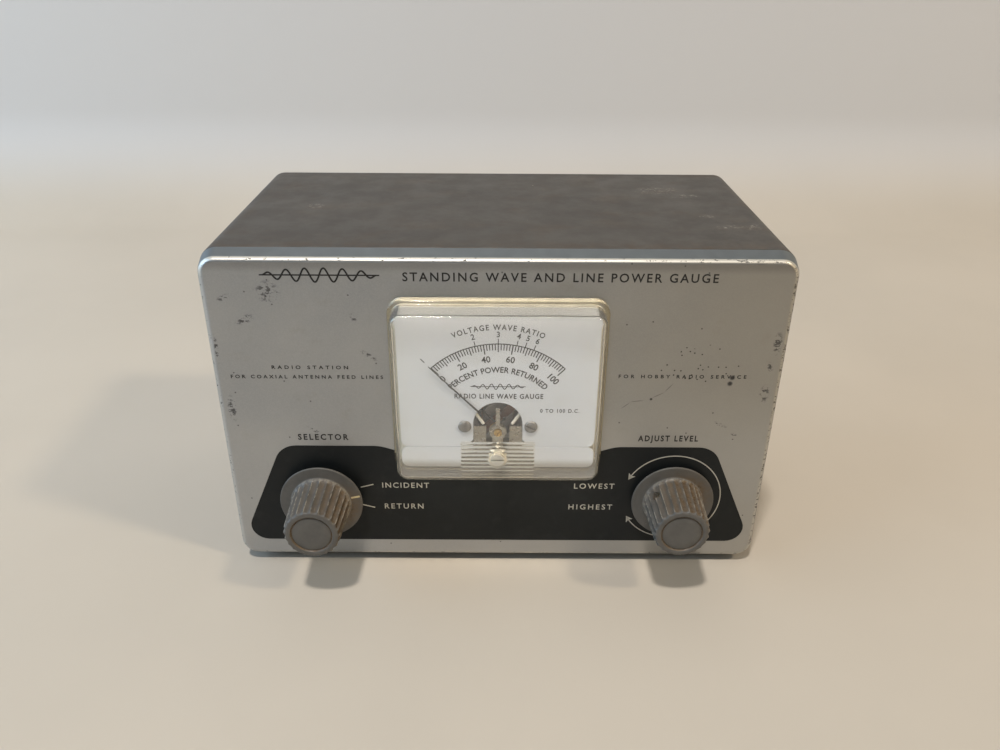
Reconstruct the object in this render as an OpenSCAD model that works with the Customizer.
// SWR meter: a bench instrument with a round-barrel panel meter, two controls
// and a coaxial line between two jacks. Millimetres, +Z up, face towards -Y.

/* [Case] */
// Width of the front panel
panel_w = 187.3; // [186:0.1:192]
// Height of the front panel
panel_h = 117; // [116:0.5:122]
// Depth of the case, without knobs and jacks
case_d = 100; // [98:1:112]
// Thickness of the case sheet
sheet_t = 1; // [0.8:0.1:1.2]
// Corner radius of the case, seen from the front
corner_r = 6; // [5:0.5:8]
// Radius of the pressed edge round the front panel
edge_r = 2.4; // [1.5:0.1:2.4]
// Depth of the front panel's rim
front_rim = 5; // [5:0.5:6]
// Depth of the rear panel's rim
rear_rim = 3; // [3:0.5:4]
// Height of the feet under the case
foot_h = 2.7; // [2.5:0.1:5]
// Radius of a foot
foot_r = 6; // [5:0.5:7]

/* [Chassis] */
// Width of the chassis
chassis_w = 172; // [168:1:176]
// Height of the chassis deck above the panel's lower edge
deck_z = 41; // [40.8:0.1:41.5]
// Thickness of the chassis sheet
chassis_t = 1.2; // [1:0.1:1.3]

/* [Controls] */
// Distance of each control from the middle of the panel
control_x = 61.6; // [58:0.1:66]
// Height of the controls above the panel's lower edge
control_z = 26.6; // [25.5:0.1:27]
// How far the sensitivity knob stands out from the panel
knob_reach = 21; // [19:0.5:24]
// How much further out the function knob sits on its shaft
function_lift = 1.4; // [0:0.1:2]
// Radius of a knob's skirt
skirt_r = 14.4; // [13.5:0.1:16]
// Radius of a knob's fluted grip
grip_r = 9.8; // [9.6:0.1:10.4]
// Number of flutes round a grip
flutes = 24; // [16:1:32]
// Radius of the control shafts
shaft_r = 3.175; // [3.1:0.005:3.2]
// Pointer angle of the function knob, anticlockwise from 3 o'clock
function_angle = 12; // [0:1:20]
// Pointer angle of the sensitivity knob, anticlockwise from 3 o'clock
sensitivity_angle = -40; // [-140:1:140]

/* [Meter] */
// Width of the meter's flange
flange_w = 70.4; // [70:0.1:72]
// Height of the meter's flange
flange_h = 63.9; // [63:0.1:66]
// Thickness of the meter's flange
flange_t = 3; // [2:0.5:4]
// How far the meter's window stands out from the panel
window_reach = 12; // [12:0.5:14]
// Height of the meter barrel's centre above the panel's lower edge
barrel_z = 70.9; // [70.8:0.1:71]
// Radius of the meter's barrel
barrel_r = 25.4; // [25.2:0.1:25.6]
// Height of the needle's pivot above the panel's lower edge
pivot_z = 57.5; // [57.4:0.1:57.6]
// Length of the needle from its pivot
needle_l = 32.2; // [28:0.1:33]
// Angle of the resting needle, left of upright
needle_angle = 44; // [43:0.5:45]

/* [Coaxial jacks] */
// Distance of each jack from the middle of the case
jack_x = 44; // [42:0.5:48]
// Height of the jacks above the panel's lower edge
jack_z = 26; // [24:0.5:27]
// Radius of a jack's threaded shell
thread_r = 7.94; // [7.9:0.01:8]
// Length of a jack's threaded shell
thread_l = 12; // [11:0.5:13]
// Radius of the hole in a jack's centre contact
socket_r = 2; // [1.95:0.01:2.1]

/* [Hidden] */
$fn = 48;

half_w = panel_w / 2;
jack_flange_t = 2.4;
jack_reach = jack_flange_t + thread_l;
// The origin lies under the middle of the whole object, knobs and jacks included
face_y = (knob_reach + function_lift - case_d - jack_reach) / 2;
slack = 0.05;            // gap round a piece that is only pushed into another

// Fasteners
screw_r = 1.6;
screw_hole_r = 1.7;
screw_head_r = 2.8;
nut_r = 3.15;
nut_t = 2.4;

// Chassis
apron_y = sheet_t + chassis_t;              // inner face of the front apron
rear_y = case_d - sheet_t - chassis_t;      // inner face of the rear apron
rear_edge_r = 1.4;
foot_x = 76;
foot_in = 13;                               // a foot's distance from either end
flange_l = 20;

// Controls
bushing_r = 4.7;
bushing_hole_r = 4.8;
bushing_reach = 3.4;
control_nut_t = 2.2;
knob_gap = 0.8;                             // gap between skirt and panel
skirt_y = -3;                               // front of the skirt
grip_front = 2.4 - knob_reach;              // where the flutes meet the lip
grub_y = -7.5;
shaft_front = -16;
switch_r = 12.7;
wafer_y = 11;
wafer_t = 1.6;
rotor_r = 6.9;
index_y = 4.2;
pot_r = 11.9;
pot_back = 14.4;

// Meter
flange_step = 1.3;
window_w = flange_w - 2 * flange_step;
window_h = flange_h - 2 * flange_step;
flange_z0 = 39.3;
window_z0 = flange_z0 + flange_step;
window_t = 1.2;
rib_z0 = 44.2;
bridge_y = -6.3;                            // front of the bridge over the pivot
stud_x = 26.4;
stud_dz = 24.6;
stud_z = 71;
zero_z = 49.6;
zero_pin_r = 0.4;
zero_throw = 1.2;
dial_y = -4;                                // front of the dial
dial_t = 0.5;
dial_half_w = 32.4;
dial_z0 = 50.3;
dial_z1 = 100;
arch_r = 8.2;
arch_z = 59.1;
dial_screw_x = 11;
dial_screw_z = 58.2;
gap_r = 7.4;                                // bore of the pole pieces
core_r = 5.1;
pole_y0 = 4;
pole_y1 = 14;

// Coaxial line
jack_bore_r = 6.05;
insulator_r = 6.3;
jack_recess = 5.5;
contact_r = 2.6;
socket_l = 10;
jack_hole_pitch = 18.26;
line_y = 86.5;
line_r = 2.4;
pickup_dz = 5.5;
pickup_r = 0.7;
trough_x = 31;
trough_dz = 8.5;
trough_t = 1;
trough_y0 = 78;
tag_x = 22;                                 // leads of the small components
strip_y = 64;
strip_t = 1.5;
trough_screw_x = 18;

// ---------------------------------------------------------------- helpers
// Inside at_face, y = 0 is the panel's face and z = 0 its lower edge
module at_face() translate([0, face_y, foot_h]) children();
// A drawing in x and z, thickened from y0 back to y1
module slab(y0, y1) translate([0, y1, 0]) rotate([90, 0, 0]) linear_extrude(y1 - y0) children();
module rod(x, z, y0, y1, r) slab(y0, y1) translate([x, z]) circle(r);
module tube(x, z, y0, y1, r, bore) slab(y0, y1) translate([x, z]) difference() {
    circle(r);
    circle(bore);
}
module box(x0, x1, y0, y1, z0, z1) translate([x0, y0, z0]) cube([x1 - x0, y1 - y0, z1 - z0]);
module rounded(x0, z0, x1, z1, r) {
    translate([x0 + r, z0]) square([x1 - x0 - 2 * r, z1 - z0]);
    translate([x0, z0 + r]) square([x1 - x0, z1 - z0 - 2 * r]);
    for (x = [x0 + r, x1 - r], z = [z0 + r, z1 - r]) translate([x, z]) circle(r);
}
module case_outline(inset) rounded(inset - half_w, inset, half_w - inset, panel_h - inset,
                                   corner_r - inset);
// Turns a piece drawn about the y axis and moves it to a control or pivot
module turned(x, z, angle) translate([x, 0, z]) rotate([0, -angle, 0]) children();
module link(a, b, r) {
    d = b - a;
    len = norm(d);
    translate(a) rotate([0, acos(d[2] / len), atan2(d[1], d[0])]) cylinder(r = r, h = len);
}
// A point on the smooth curve from p[i] to p[i + 1], t of the way along
function curve_point(p, i, t) = let (
    a = p[max(i - 1, 0)], b = p[i], c = p[i + 1], d = p[min(i + 2, len(p) - 1)]
) (2 * b + (c - a) * t + (2 * a - 5 * b + 4 * c - d) * t * t
   + (3 * b - a - 3 * c + d) * t * t * t) / 2;
wire_steps = 6;
function curve(p) = concat(
    [for (i = [0 : len(p) - 2], k = [0 : wire_steps - 1]) curve_point(p, i, k / wire_steps)],
    [p[len(p) - 1]]);
function unit(v) = v / norm(v);
// Eight points round q[i], square to the curve there
function ring(q, i, r) = let (
    along = unit(q[min(i + 1, len(q) - 1)] - q[max(i - 1, 0)]),
    across = unit(cross(along, [0.31, 0.17, 0.94])),
    up = cross(along, across)
) [for (a = [0 : 45 : 315]) q[i] + r * (across * cos(a) + up * sin(a))];
// A round wire along the smooth curve through p
module wire(p, r) {
    q = curve(p);
    last = 8 * (len(q) - 1);
    polyhedron(
        points = [for (i = [0 : len(q) - 1]) each ring(q, i, r)],
        faces = concat(
            [[for (k = [0 : 7]) k]],
            [for (i = [0 : len(q) - 2], k = [0 : 7]) let (a = 8 * i + k, b = 8 * i + (k + 1) % 8)
                [b, a, a + 8, b + 8]],
            [[for (k = [7 : -1 : 0]) last + k]]));
}
module hex_nut(x, z, y0) slab(y0, y0 + nut_t) translate([x, z]) difference() {
    circle(nut_r, $fn = 6);
    circle(screw_r + slack);
}
// A pan pressed from sheet, open towards +Y
module pan(rim, r) difference() {
    hull() for (x = [corner_r - half_w, half_w - corner_r], z = [corner_r, panel_h - corner_r])
        translate([x, 0, z]) {
            translate([0, r, 0]) rotate([90, 0, 0]) rotate_extrude($fn = 32)
                translate([corner_r - r, 0]) circle(r, $fn = 32);
            rod(0, 0, rim - 0.1, rim, corner_r, $fn = 32);
        }
    slab(sheet_t, rim + 1) case_outline(sheet_t);
}

function jack_screw_places() = [
    for (x = [-jack_x, jack_x], dx = [-0.5, 0.5], dz = [-0.5, 0.5])
        [x + dx * jack_hole_pitch, jack_z + dz * jack_hole_pitch]
];
function trough_screw_places() = [for (x = [-trough_screw_x, trough_screw_x]) [x, jack_z]];
function foot_places() = [
    for (x = [-foot_x, foot_x], y = [foot_in, case_d - foot_in]) [x, y]
];
function stud_places() = [
    for (x = [-stud_x, stud_x], dz = [-stud_dz, stud_dz]) [x, stud_z + dz]
];

// ------------------------------------------------------------------- case
module front_panel() color([0.56, 0.57, 0.59]) at_face() difference() {
    pan(front_rim, edge_r);
    rod(0, barrel_z, -1, sheet_t + 1, barrel_r + 0.4);
    for (p = stud_places()) rod(p[0], p[1], -1, sheet_t + 1, screw_hole_r);
    for (x = [-control_x, control_x]) rod(x, control_z, -1, sheet_t + 1, bushing_hole_r);
}
module rear_panel() color([0.4, 0.38, 0.36]) at_face() difference() {
    translate([0, case_d, 0]) mirror([0, 1, 0]) pan(rear_rim, rear_edge_r);
    for (x = [-jack_x, jack_x]) rod(x, jack_z, case_d - 2, case_d + 1, 8);
    for (p = concat(jack_screw_places(), trough_screw_places()))
        rod(p[0], p[1], case_d - 2, case_d + 1, screw_hole_r);
}
module cabinet_shell() color([0.4, 0.38, 0.36]) at_face() difference() {
    slab(front_rim, case_d - rear_rim) difference() {
        case_outline(0);
        case_outline(sheet_t);
    }
    for (p = foot_places()) translate([p[0], p[1], -1]) cylinder(r = screw_hole_r, h = sheet_t + 2);
}
module case_feet() color([0.12, 0.12, 0.12]) at_face() for (p = foot_places())
    translate([p[0], p[1], -foot_h]) difference() {
        cylinder(r = foot_r, h = foot_h);
        translate([0, 0, -1]) cylinder(r = screw_hole_r, h = foot_h + 2);
        translate([0, 0, -1]) cylinder(r = screw_head_r + 0.4, h = 2.4);
    }
module foot_screws() color([0.7, 0.7, 0.7]) at_face() for (p = foot_places())
    translate([p[0], p[1], 0]) {
        translate([0, 0, 0.3 - foot_h]) difference() {
            cylinder(r = screw_head_r, h = 1.1);
            translate([-4, -0.4, -0.2]) cube([8, 0.8, 0.7]);
        }
        translate([0, 0, 1.4 - foot_h]) cylinder(r = screw_r, h = foot_h + 5);
    }
module hex_nuts() color([0.72, 0.72, 0.7]) at_face() {
    for (p = foot_places()) translate([p[0], p[1], sheet_t + chassis_t]) difference() {
        cylinder(r = nut_r, h = nut_t, $fn = 6);
        translate([0, 0, -1]) cylinder(r = screw_r + slack, h = nut_t + 2);
    }
    for (p = jack_screw_places()) hex_nut(p[0], p[1], rear_y - nut_t);
    for (p = trough_screw_places()) hex_nut(p[0], p[1], rear_y - trough_t - nut_t);
    for (p = stud_places()) hex_nut(p[0], p[1], sheet_t);
}
module chassis() color([0.7, 0.71, 0.73]) at_face() difference() {
    union() {
        box(-chassis_w / 2, chassis_w / 2, sheet_t, apron_y, sheet_t, deck_z);
        box(-chassis_w / 2, chassis_w / 2, sheet_t, case_d - sheet_t, deck_z - chassis_t, deck_z);
        box(-chassis_w / 2, chassis_w / 2, rear_y, case_d - sheet_t, sheet_t, deck_z);
        for (y = [sheet_t, case_d - sheet_t - flange_l])
            box(-chassis_w / 2, chassis_w / 2, y, y + flange_l, sheet_t, sheet_t + chassis_t);
    }
    for (x = [-control_x, control_x]) rod(x, control_z, 0, apron_y + 1, bushing_hole_r);
    for (x = [-jack_x, jack_x]) rod(x, jack_z, rear_y - 1, case_d, 8);
    for (p = concat(jack_screw_places(), trough_screw_places()))
        rod(p[0], p[1], rear_y - 1, case_d, screw_hole_r);
    for (p = foot_places()) translate([p[0], p[1], 0]) cylinder(r = screw_hole_r, h = 4);
    translate([0, 44, deck_z - 3]) cylinder(r = 5, h = 4);
    translate([0, strip_y - 5, deck_z - 3]) cylinder(r = screw_hole_r, h = 4);
}
module wire_grommet() color([0.1, 0.1, 0.1]) at_face() translate([0, 44, deck_z]) difference() {
    union() {
        cylinder(r = 6.6, h = 1.3);
        translate([0, 0, -chassis_t - 1.3]) cylinder(r = 6.6, h = 1.3);
        translate([0, 0, -chassis_t]) cylinder(r = 5 - slack, h = chassis_t);
    }
    translate([0, 0, -4]) cylinder(r = 3.2, h = 8);
}

// ------------------------------------------------------------------ knobs
// A skirted knob about the y axis, its pointer towards +X and its grub screw opposite
module knob() difference() {
    union() {
        translate([0, -knob_gap, 0]) rotate([90, 0, 0])
            cylinder(r1 = skirt_r - 1.2, r2 = skirt_r, h = -knob_gap - skirt_y);
        slab(grip_front, skirt_y + 0.2) difference() {
            circle(grip_r);
            for (i = [0 : flutes - 1]) rotate((i + 0.5) * 360 / flutes)
                translate([grip_r + 0.25, 0]) circle(0.75);
        }
        rod(0, 0, -knob_reach, grip_front, grip_r - 0.3);
    }
    tube(0, 0, -knob_reach - 1, 0.5 - knob_reach, 7.2, 6.6);
    rod(0, 0, shaft_front - 0.5, 0, shaft_r + slack);
    rod(0, 0, -4.4, 0, 7.8);
    rod(0, 0, -1.7, 0, skirt_r - 2.2);
    translate([0, grub_y, 0]) rotate([0, -90, 0]) cylinder(r = 1.6, h = 15);
}
module grub_screw() difference() {
    translate([-shaft_r - slack, grub_y, 0]) rotate([0, -90, 0]) cylinder(r = 1.55, h = 4.4);
    box(-shaft_r - 6, -shaft_r - 3.7, grub_y - 2, grub_y + 2, -0.3, 0.3);
}
module function_knob() color([0.35, 0.34, 0.33]) at_face()
    translate([0, -function_lift, 0]) turned(-control_x, control_z, function_angle) knob();
module sensitivity_knob() color([0.35, 0.34, 0.33]) at_face()
    turned(control_x, control_z, sensitivity_angle) knob();
module function_knob_set_screw() color([0.6, 0.5, 0.3]) at_face()
    translate([0, -function_lift, 0]) turned(-control_x, control_z, function_angle) grub_screw();
module sensitivity_knob_set_screw() color([0.6, 0.5, 0.3]) at_face()
    turned(control_x, control_z, sensitivity_angle) grub_screw();
module control_nuts() color([0.75, 0.75, 0.72]) at_face() for (x = [-control_x, control_x])
    slab(-control_nut_t, 0) translate([x, control_z]) difference() {
        circle(7.2, $fn = 6);
        circle(bushing_r + slack);
    }
// A threaded bushing through the panel, in one piece with the plate behind it
module bushing_plate(x, plate_t, r) {
    tube(x, control_z, -bushing_reach, apron_y, bushing_r, shaft_r + slack);
    tube(x, control_z, apron_y, apron_y + plate_t, r, shaft_r + slack);
}

// --------------------------------------------------------- function switch
module switch_frame() color([0.7, 0.7, 0.68]) at_face() {
    difference() {
        bushing_plate(-control_x, 1.2, switch_r);
        for (x = [-10.2, 10.2]) rod(x - control_x, control_z, apron_y, apron_y + 2, 1.2);
    }
    for (x = [-10.2, 10.2]) {
        rod(x - control_x, control_z, apron_y, wafer_y, 1.2 - 0.01);
        tube(x - control_x, control_z, apron_y + 1.3, wafer_y, 1.9, 1.2);
        rod(x - control_x, control_z, wafer_y, wafer_y + wafer_t + 2, 1.1);
    }
}
module function_shaft() color([0.75, 0.75, 0.75]) at_face()
    rod(-control_x, control_z, shaft_front, wafer_y + wafer_t + 3, shaft_r);
module switch_index_wheel() color([0.7, 0.65, 0.5]) at_face()
    slab(index_y, index_y + 1.4) translate([-control_x, control_z]) difference() {
        circle(6);
        circle(shaft_r);
        for (i = [0 : 11]) rotate(i * 30) translate([6.6, 0]) circle(1);
    }
module switch_detent_spring() color([0.8, 0.75, 0.55]) at_face() {
    box(-control_x - 6, -control_x + 6, index_y, index_y + 1.2, control_z + 8.7, control_z + 9.3);
    for (x = [-6, 4.8]) box(x - control_x, x - control_x + 1.2, apron_y + 1.2, index_y + 1.2,
                            control_z + 9.3, control_z + 9.8);
    rod(-control_x, control_z + 7.4, index_y, index_y + 1.2, 1.28);
}
module switch_wafer() color([0.45, 0.3, 0.16]) at_face()
    slab(wafer_y, wafer_y + wafer_t) translate([-control_x, control_z]) difference() {
        circle(switch_r);
        circle(rotor_r + 0.1);
        for (x = [-10.2, 10.2]) translate([x, 0]) circle(1.1 + slack);
    }
module switch_rotor() color([0.6, 0.42, 0.22]) at_face() {
    slab(wafer_y, wafer_y + wafer_t) translate([-control_x, control_z]) difference() {
        circle(rotor_r);
        circle(shaft_r);
    }
    slab(wafer_y + wafer_t, wafer_y + wafer_t + 0.4) translate([-control_x, control_z])
        difference() {
            circle(6.6);
            circle(4.4);
            square([14, 14]);
        }
}
module switch_contacts() color([0.85, 0.83, 0.75]) at_face() for (i = [0 : 7])
    let (angle = 22.5 + 45 * i) turned(-control_x, control_z, angle) {
        box(5.4, 11.8, wafer_y + wafer_t + 0.6, wafer_y + wafer_t + 0.9, -0.8, 0.8);
        box(9.4, 10.6, wafer_y + wafer_t, wafer_y + wafer_t + 0.6, -0.8, 0.8);
        box(11.8, 14, wafer_y + wafer_t + 0.6, wafer_y + wafer_t + 0.9, -0.5, 0.5);
    }

// ------------------------------------------------------- sensitivity control
module pot_bushing() color([0.72, 0.72, 0.7]) at_face()
    bushing_plate(control_x, 1, pot_r);
module pot_cover() color([0.7, 0.7, 0.72]) at_face() difference() {
    rod(control_x, control_z, apron_y + 1, pot_back, pot_r);
    rod(control_x, control_z, apron_y, pot_back - 0.6, pot_r - 0.5);
    box(control_x - 7, control_x + 7, apron_y, apron_y + 3.4, control_z - 14, control_z - 8);
}
module pot_element() color([0.3, 0.2, 0.12]) at_face()
    tube(control_x, control_z, apron_y + 1, apron_y + 2.6, pot_r - 0.6, 4.5);
module pot_terminals() color([0.85, 0.83, 0.7]) at_face() for (x = [-5, 0, 5])
    box(control_x + x - 0.9, control_x + x + 0.9, apron_y + 2.6, apron_y + 3.1,
        control_z - 16, control_z - 8.8);
module pot_wiper() color([0.8, 0.7, 0.45]) at_face() turned(control_x, control_z, sensitivity_angle + 180) {
    tube(0, 0, 7.2, 8.6, 4.6, shaft_r);
    box(4.2, 9.6, 7.2, 7.8, -1.5, 1.5);
    box(8.4, 9.6, apron_y + 3.3, 7.2, -0.8, 0.8);
}
module pot_shaft() color([0.75, 0.75, 0.75]) at_face()
    rod(control_x, control_z, shaft_front, 10.2, shaft_r);

// ------------------------------------------------------------------- meter
module window_outline(inset, r) rounded(inset - window_w / 2, window_z0 + inset,
    window_w / 2 - inset, window_z0 + window_h - inset, r);
module meter_cover() color([0.92, 0.9, 0.82, 0.4]) at_face() difference() {
    union() {
        slab(-flange_t, 0) rounded(-flange_w / 2, flange_z0, flange_w / 2,
                                   flange_z0 + flange_h, 5);
        slab(0.4 - window_reach, -flange_t) window_outline(0, 4);
        for (i = [0 : 8]) box(-12, 12, -window_reach, 0.4 - window_reach,
                              rib_z0 + 1.4 * i, rib_z0 + 0.8 + 1.4 * i);
        rod(0, zero_z, -window_reach, 1 - window_reach, 2.95);
    }
    slab(0.4 + window_t - window_reach, 1) window_outline(window_t, 2.8);
    rod(0, zero_z, -window_reach - 1, 0, 2.2 + slack);
}
module meter_base() color([0.85, 0.83, 0.76]) at_face() difference() {
    union() {
        slab(-1.5, 0) window_outline(window_t + 0.1, 2.7);
        rod(0, barrel_z, 0, 27, barrel_r);
    }
    difference() {
        rod(0, barrel_z, -2, 25.4, barrel_r - 1.6);
        for (x = [-14, 14]) rod(x, pivot_z + 2.5, pole_y1, 26, 2.5);
    }
    for (p = stud_places()) rod(p[0], p[1], -2, 1, screw_r + slack);
    for (x = [-9, 9]) rod(x, 80, 25, 28, 2.1);
}
module meter_studs() color([0.75, 0.72, 0.6]) at_face() for (p = stud_places()) {
    rod(p[0], p[1], -2.1, 7, screw_r);
    rod(p[0], p[1], -2.6, -1.5, screw_r + 0.9);
}
module arch() {
    translate([0, arch_z]) circle(arch_r);
    translate([-arch_r, 52.8]) square([2 * arch_r, arch_z - 52.8]);
    polygon([[-10.6, 50], [10.6, 50], [10.6, 50.9], [arch_r, 52.9], [-arch_r, 52.9],
             [-10.6, 50.9]]);
}
module dial_plate() color([0.93, 0.93, 0.9]) at_face() slab(dial_y, dial_y + dial_t) difference() {
    rounded(-dial_half_w, dial_z0, dial_half_w, dial_z1, 2.5);
    arch();
    for (x = [-dial_screw_x, dial_screw_x]) translate([x, dial_screw_z]) circle(1.2);
}
module dial_screws() color([0.5, 0.5, 0.5]) at_face() for (x = [-dial_screw_x, dial_screw_x]) {
    difference() {
        rod(x, dial_screw_z, dial_y - 1, dial_y, 2.2);
        box(x - 3, x + 3, dial_y - 2, dial_y - 0.5, dial_screw_z - 0.25, dial_screw_z + 0.25);
    }
    rod(x, dial_screw_z, dial_y, 0.5, 1.1);
}
module dial_lower_mask() color([0.9, 0.9, 0.86]) at_face() {
    slab(dial_y - 0.1, dial_y + 0.4) difference() {
        rounded(-dial_half_w, window_z0 + 1.6, dial_half_w, dial_z0 - 0.2, 2.5);
        translate([-2.6, zero_z - 2.2]) square([5.2, 6]);
    }
    for (x = [-22, 22]) rod(x, 48.6, dial_y + 0.4, -1.5, 1);
}
module meter_pole_pieces() color([0.45, 0.46, 0.48]) at_face() {
    slab(pole_y0, pole_y1) intersection() {
        translate([0, barrel_z]) circle(barrel_r - 1.9);
        difference() {
            translate([-23, 48.9]) square([46, 17.1]);
            translate([0, pivot_z]) circle(gap_r);
            translate([-1.5, 40]) square([3, 30]);
        }
    }
    // Posts for the dial, tapped for its screws
    for (x = [-dial_screw_x, dial_screw_x])
        tube(x, dial_screw_z, dial_y + dial_t, pole_y0, 1.9, 1.1 + slack);
}
module meter_magnet() color([0.3, 0.31, 0.33]) at_face() slab(pole_y0, pole_y1) intersection() {
    translate([0, barrel_z]) difference() {
        circle(barrel_r - 1.9);
        circle(13.5);
    }
    translate([-24, 66]) square([48, 40]);
}
module meter_core() color([0.5, 0.5, 0.5]) at_face() {
    slab(pole_y0, pole_y1) union() {
        translate([0, pivot_z]) circle(core_r);
        translate([-1.5, 49.6]) square([3, 15.8]);
    }
}
module front_bridge() color([0.6, 0.58, 0.5]) at_face() {
    slab(bridge_y, bridge_y + 0.8) difference() {
        union() {
            translate([0, pivot_z]) circle(2.9);
            translate([-1.8, 49.6]) square([3.6, pivot_z - 49.6]);
        }
        translate([0, pivot_z]) circle(1.3 + slack);
    }
    box(-8, 8, -2.5, -1.7, 49.6, 50.8);
    box(-1.8, 1.8, bridge_y + 0.8, pole_y0, 49.6, 50.4);
    // Blocks either side of the coil that carry the bridge on the pole pieces
    for (s = [-1, 1]) {
        box(s < 0 ? -8 : 3.9, s < 0 ? -3.9 : 8, -2.5, -1.7, 50.6, 57.4);
        box(s < 0 ? -8.1 : 7, s < 0 ? -7 : 8.1, -1.7, pole_y0, 50.6, 53);
    }
}
module rear_bridge() color([0.6, 0.58, 0.5]) at_face() {
    slab(17.2, 18.2) difference() {
        translate([-10.5, pivot_z - 2.2]) square([21, 4.4]);
        translate([0, pivot_z]) circle(1.3 + slack);
    }
    for (x = [-10.5, 8.5]) box(x, x + 2, pole_y1, 17.2, pivot_z - 2.2, pivot_z + 2.2);
}
module jewel_screws() color([0.75, 0.6, 0.3]) at_face() {
    difference() {
        rod(0, pivot_z, bridge_y - 0.9, bridge_y + 1, 1.3);
        turned(0, pivot_z, 40) box(-2, 2, bridge_y - 1, bridge_y - 0.5, -0.2, 0.2);
    }
    rod(0, pivot_z, 17, 18.8, 1.3);
}
// The moving coil is wound round the core, square to the needle
module moving_coil() color([0.72, 0.4, 0.2]) at_face() turned(0, pivot_z, needle_angle) {
    difference() {
        box(-6.9, 6.9, 2, 16, -1.4, 1.4);
        box(-5.6, 5.6, 3.2, 14.8, -2, 2);
    }
    rod(0, 0, bridge_y + 1.1, 2, 0.45);
    rod(0, 0, 16, 16.9, 0.45);
}
// The needle's root lies behind the bridge and steps forward over the dial's edge
module needle() color([0.05, 0.05, 0.05]) at_face() turned(0, pivot_z, needle_angle) {
    difference() {
        union() {
            rod(0, 0, -1.5, -1.2, 1.1);
            box(-0.3, 0.3, -1.5, -1.2, 0.9, 8.9);
            for (x = [-1, 1]) rod(x * 3, 0, -1.5, -0.9, 0.55);
            rod(0, -3.6, -1.5, -0.9, 0.7);
            box(-3, 3, -1.5, -1.2, -0.2, 0.2);
            box(-0.2, 0.2, -1.5, -1.2, -3.6, 0);
        }
        rod(0, 0, -3, 0, 0.45);
    }
    box(-0.3, 0.3, dial_y - 0.9, -1.5, 8.6, 8.9);
    slab(dial_y - 0.9, dial_y - 0.65)
        polygon([[-0.3, 8.6], [0.3, 8.6], [0.12, needle_l], [-0.12, needle_l]]);
}
spring_turns = 3;
spring_step = 12;
spring_t = 0.14;
function spiral(out) = [for (a = [0 : spring_step : 360 * spring_turns])
    (1.3 + 1.6 * a / (360 * spring_turns) + out) * [sin(a), cos(a)]];
function reversed(v) = [for (i = [len(v) - 1 : -1 : 0]) v[i]];
module hairspring() color([0.75, 0.62, 0.35]) at_face()
    slab(bridge_y + 0.9, bridge_y + 1.2) translate([0, pivot_z])
        polygon(concat(spiral(0), reversed(spiral(spring_t))));
// The lever holds the hairspring above and is swung from below by the zero screw
module zero_lever() color([0.8, 0.78, 0.72]) at_face() {
    slab(bridge_y - 0.5, bridge_y - 0.05) difference() {
        union() {
            translate([0, pivot_z]) circle(2.6);
            translate([-0.7, pivot_z]) square([1.4, 9]);
            translate([-1.1, 50]) square([2.2, 7]);
        }
        translate([0, pivot_z]) circle(1.6);
        translate([-zero_pin_r - 0.2, 49]) square([2 * zero_pin_r + 0.4, 3.2]);
    }
    box(-0.4, 0.4, bridge_y - 0.05, bridge_y + 0.9, pivot_z + 3.1, pivot_z + 3.5);
}
module zero_adjust_screw() color([0.9, 0.88, 0.8]) at_face() {
    difference() {
        union() {
            rod(0, zero_z, -window_reach, -9.4, 2.2);
            rod(0, zero_z, -10.3, -9.4, 3);
        }
        box(-3, 3, -window_reach - 1, 0.9 - window_reach, zero_z - 0.35, zero_z + 0.35);
    }
    rod(0, zero_z + zero_throw, -9.4, bridge_y - 0.1, zero_pin_r);
}
// Two bent wires that keep the needle on its scale
stop_dx = 4.8;
module pointer_stops() color([0.9, 0.9, 0.88]) at_face()
    for (s = [-1, 1]) {
        link([s * stop_dx, -2.7, 58.5], [s * (stop_dx + 2.7), -2.7, 62.7], 0.55);
        rod(s * (stop_dx + 2.7), 62.7, -3.3, pole_y0, 0.6);
    }
module meter_terminals() color([0.75, 0.65, 0.4]) at_face() for (x = [-9, 9]) {
    rod(x, 80, 23, 36, 2);
    rod(x, 80, 22, 25.4, 3.6);
    slab(27, 29.4) translate([x, 80]) difference() {
        circle(3.8, $fn = 6);
        circle(2 + slack);
    }
}

// --------------------------------------------------------------- coaxial line
module jack_shell(x) color([0.78, 0.77, 0.74]) at_face() difference() {
    union() {
        slab(case_d, case_d + jack_flange_t) rounded(x - 12.7, jack_z - 12.7, x + 12.7,
                                                      jack_z + 12.7, 1.5);
        rod(x, jack_z, case_d, case_d + jack_reach, thread_r);
        rod(x, jack_z, case_d - 5, case_d, 7.6);
    }
    rod(x, jack_z, case_d - 6, jack_insulator_y, insulator_r + slack);
    rod(x, jack_z, case_d, case_d + jack_reach + 1, jack_bore_r);
    for (p = jack_screw_places()) rod(p[0], p[1], case_d - 1, case_d + 4, screw_hole_r);
}
module transmitter_jack() jack_shell(-jack_x);
module antenna_jack() jack_shell(jack_x);
jack_insulator_y = case_d + jack_reach - jack_recess;
module jack_insulators() color([0.5, 0.3, 0.15]) at_face() for (x = [-jack_x, jack_x])
    tube(x, jack_z, case_d - 5, jack_insulator_y, insulator_r, contact_r + slack);
module jack_contacts() color([0.8, 0.8, 0.78]) at_face() for (x = [-jack_x, jack_x]) {
    tube(x, jack_z, jack_insulator_y - socket_l, jack_insulator_y, contact_r, socket_r);
    rod(x, jack_z, case_d - 6.5, jack_insulator_y - socket_l, contact_r);
    rod(x, jack_z, line_y + line_r + slack, case_d - 6.5, 1.2);
}
module panel_screw(x, z, y) {
    difference() {
        rod(x, z, y, y + 1.8, screw_head_r);
        box(x - 4, x + 4, y + 1, y + 3, z - 0.4, z + 0.4);
    }
    rod(x, z, rear_y - trough_t - nut_t - 0.8, y, screw_r);
}
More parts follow.
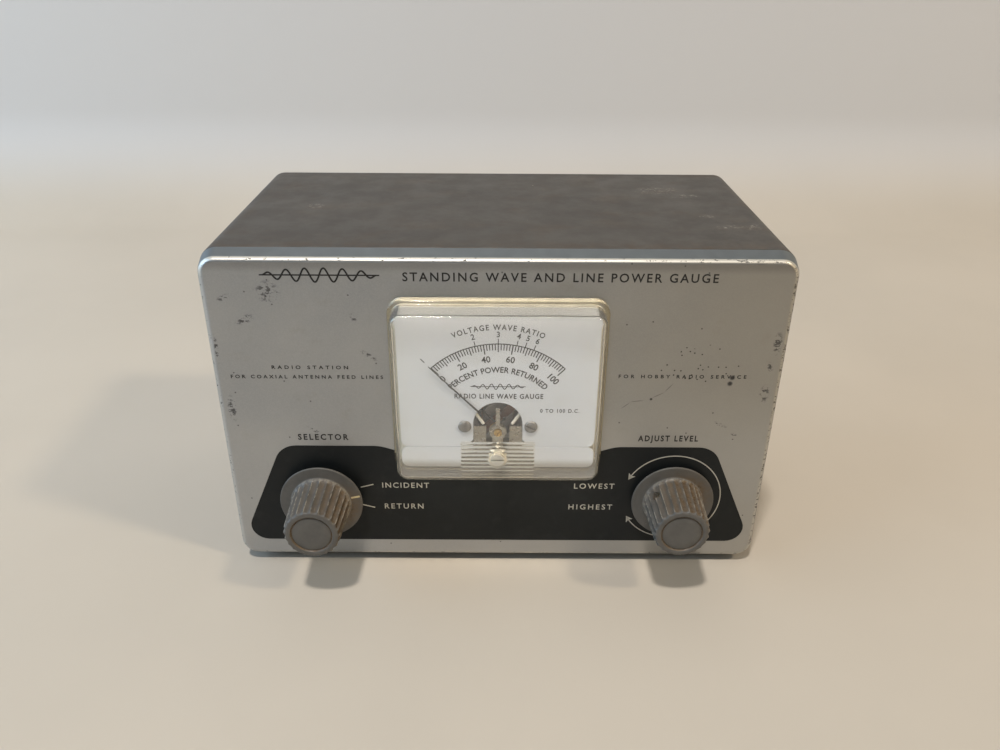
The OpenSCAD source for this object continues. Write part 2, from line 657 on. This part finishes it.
module panel_screws() color([0.72, 0.72, 0.7]) at_face() {
    for (p = jack_screw_places()) panel_screw(p[0], p[1], case_d + jack_flange_t);
    for (p = trough_screw_places()) panel_screw(p[0], p[1], case_d);
    translate([0, strip_y - 5, deck_z]) cylinder(r = screw_head_r, h = 1.8);
    translate([0, strip_y - 5, deck_z - 6]) cylinder(r = screw_r, h = 6);
}
module line_trough() color([0.75, 0.76, 0.78]) at_face() difference() {
    box(-trough_x, trough_x, trough_y0, rear_y, jack_z - trough_dz - trough_t,
        jack_z + trough_dz + trough_t);
    box(-trough_x - 1, trough_x + 1, trough_y0 - 1, rear_y - trough_t, jack_z - trough_dz,
        jack_z + trough_dz);
    for (p = trough_screw_places()) rod(p[0], p[1], rear_y - 2, rear_y + 1, screw_hole_r);
}
module along_x(x0, x1, y, z, r) translate([x0, y, z]) rotate([0, 90, 0]) cylinder(r = r, h = x1 - x0);
module line_conductor() color([0.8, 0.6, 0.35]) at_face()
    along_x(-jack_x - 3, jack_x + 3, line_y, jack_z, line_r);
module line_spacers() color([0.85, 0.85, 0.8]) at_face() for (x = [-27, 0, 27]) difference() {
    box(x - 1.2, x + 1.2, trough_y0 + 1, rear_y - trough_t, jack_z - trough_dz,
        jack_z + trough_dz);
    along_x(x - 2, x + 2, line_y, jack_z, line_r + slack);
    for (s = [-1, 1]) along_x(x - 2, x + 2, line_y, jack_z + s * pickup_dz, pickup_r + slack);
}
module pickup_wires() color([0.8, 0.5, 0.3]) at_face() for (s = [-1, 1])
    along_x(-28.2, 28.2, line_y, jack_z + s * pickup_dz, pickup_r);

// A component with a lead from each end, lying along y between strip and line
module leaded(x, z, r, y0, y1) {
    rod(x, z, y0, y1, r);
    rod(x, z, strip_y + strip_t, y0, 0.35);
    rod(x, z, y1, line_y - pickup_r - slack, 0.35);
}
module diodes() color([0.75, 0.35, 0.2]) at_face() for (s = [-1, 1])
    leaded(s * tag_x, jack_z + s * pickup_dz, 1.3, 70, 77);
module load_resistors() color([0.45, 0.3, 0.2]) at_face() for (s = [-1, 1])
    leaded(-s * tag_x, jack_z + s * pickup_dz, 1.8, 69.5, 78);
module bypass_capacitors() color([0.8, 0.6, 0.3]) at_face() for (x = [-11, 11]) {
    rod(x, jack_z, 58, 60.6, 5);
    for (dx = [-3, 3]) rod(x + dx, jack_z, 60.6, strip_y, 0.35);
}
module terminal_strip() color([0.4, 0.25, 0.14]) at_face() difference() {
    union() {
        box(-28, 28, strip_y, strip_y + strip_t, jack_z - 9, jack_z + 9);
        box(-4, 4, strip_y, strip_y + strip_t, jack_z, deck_z - chassis_t);
        box(-4, 4, strip_y - 9, strip_y + strip_t, deck_z - chassis_t - 1.5, deck_z - chassis_t);
    }
    translate([0, strip_y - 5, deck_z - 8]) cylinder(r = screw_r + slack, h = 9);
}
// Where a lead meets switch contact i, a pot terminal, a meter terminal or the terminal strip
wire_r = 0.7;
contact_back = wafer_y + wafer_t + 0.9 + wire_r;
function contact_end(i) = [13 * cos(22.5 + 45 * i) - control_x, contact_back,
                           13 * sin(22.5 + 45 * i) + control_z];
function pot_end(dx) = [control_x + dx, apron_y + 3.1 + wire_r, control_z - 14.6];
function meter_end(side) = [9 * side, 33, 80 - 2 - wire_r];
function strip_end(x, z) = [[x, strip_y - slack, z], [x, strip_y - 3, z]];
// Insulated leads: detectors to switch, switch to control, control and strip to meter
module hookup_wires() color([0.7, 0.2, 0.15]) at_face() {
    wire(concat(strip_end(-tag_x, jack_z - pickup_dz), [[-28, 50, 12], [-62, 30, 8], contact_end(5)]),
         wire_r);
    wire(concat(strip_end(tag_x, jack_z + pickup_dz), [[10, 52, 33], [-40, 40, 33], contact_end(0)]),
         wire_r);
    wire([contact_end(6), [-30, 28, 8], [44, 31, 6], pot_end(-5)], wire_r);
    wire([pot_end(0), [54, 24, 16], [9, 42, 24], [1.9, 44, 38], [1.9, 44, 48], [9, 40, 72],
          meter_end(1)], wire_r);
    wire(concat(strip_end(-4, 33), [[-3, 50, 27], [-1.9, 44, 38], [-1.9, 44, 48], [-9, 40, 72],
          meter_end(-1)]), wire_r);
}

front_panel();
cabinet_shell();
rear_panel();
case_feet();
foot_screws();
hex_nuts();
chassis();
wire_grommet();
function_knob();
function_knob_set_screw();
function_shaft();
switch_index_wheel();
switch_rotor();
switch_frame();
switch_detent_spring();
switch_wafer();
switch_contacts();
control_nuts();
sensitivity_knob();
sensitivity_knob_set_screw();
pot_shaft();
pot_wiper();
pot_bushing();
pot_cover();
pot_element();
pot_terminals();
meter_cover();
meter_base();
meter_studs();
dial_plate();
dial_screws();
dial_lower_mask();
meter_pole_pieces();
meter_magnet();
meter_core();
front_bridge();
rear_bridge();
jewel_screws();
moving_coil();
needle();
hairspring();
zero_lever();
zero_adjust_screw();
pointer_stops();
meter_terminals();
transmitter_jack();
antenna_jack();
jack_insulators();
jack_contacts();
panel_screws();
line_trough();
line_conductor();
line_spacers();
pickup_wires();
diodes();
load_resistors();
bypass_capacitors();
terminal_strip();
hookup_wires();
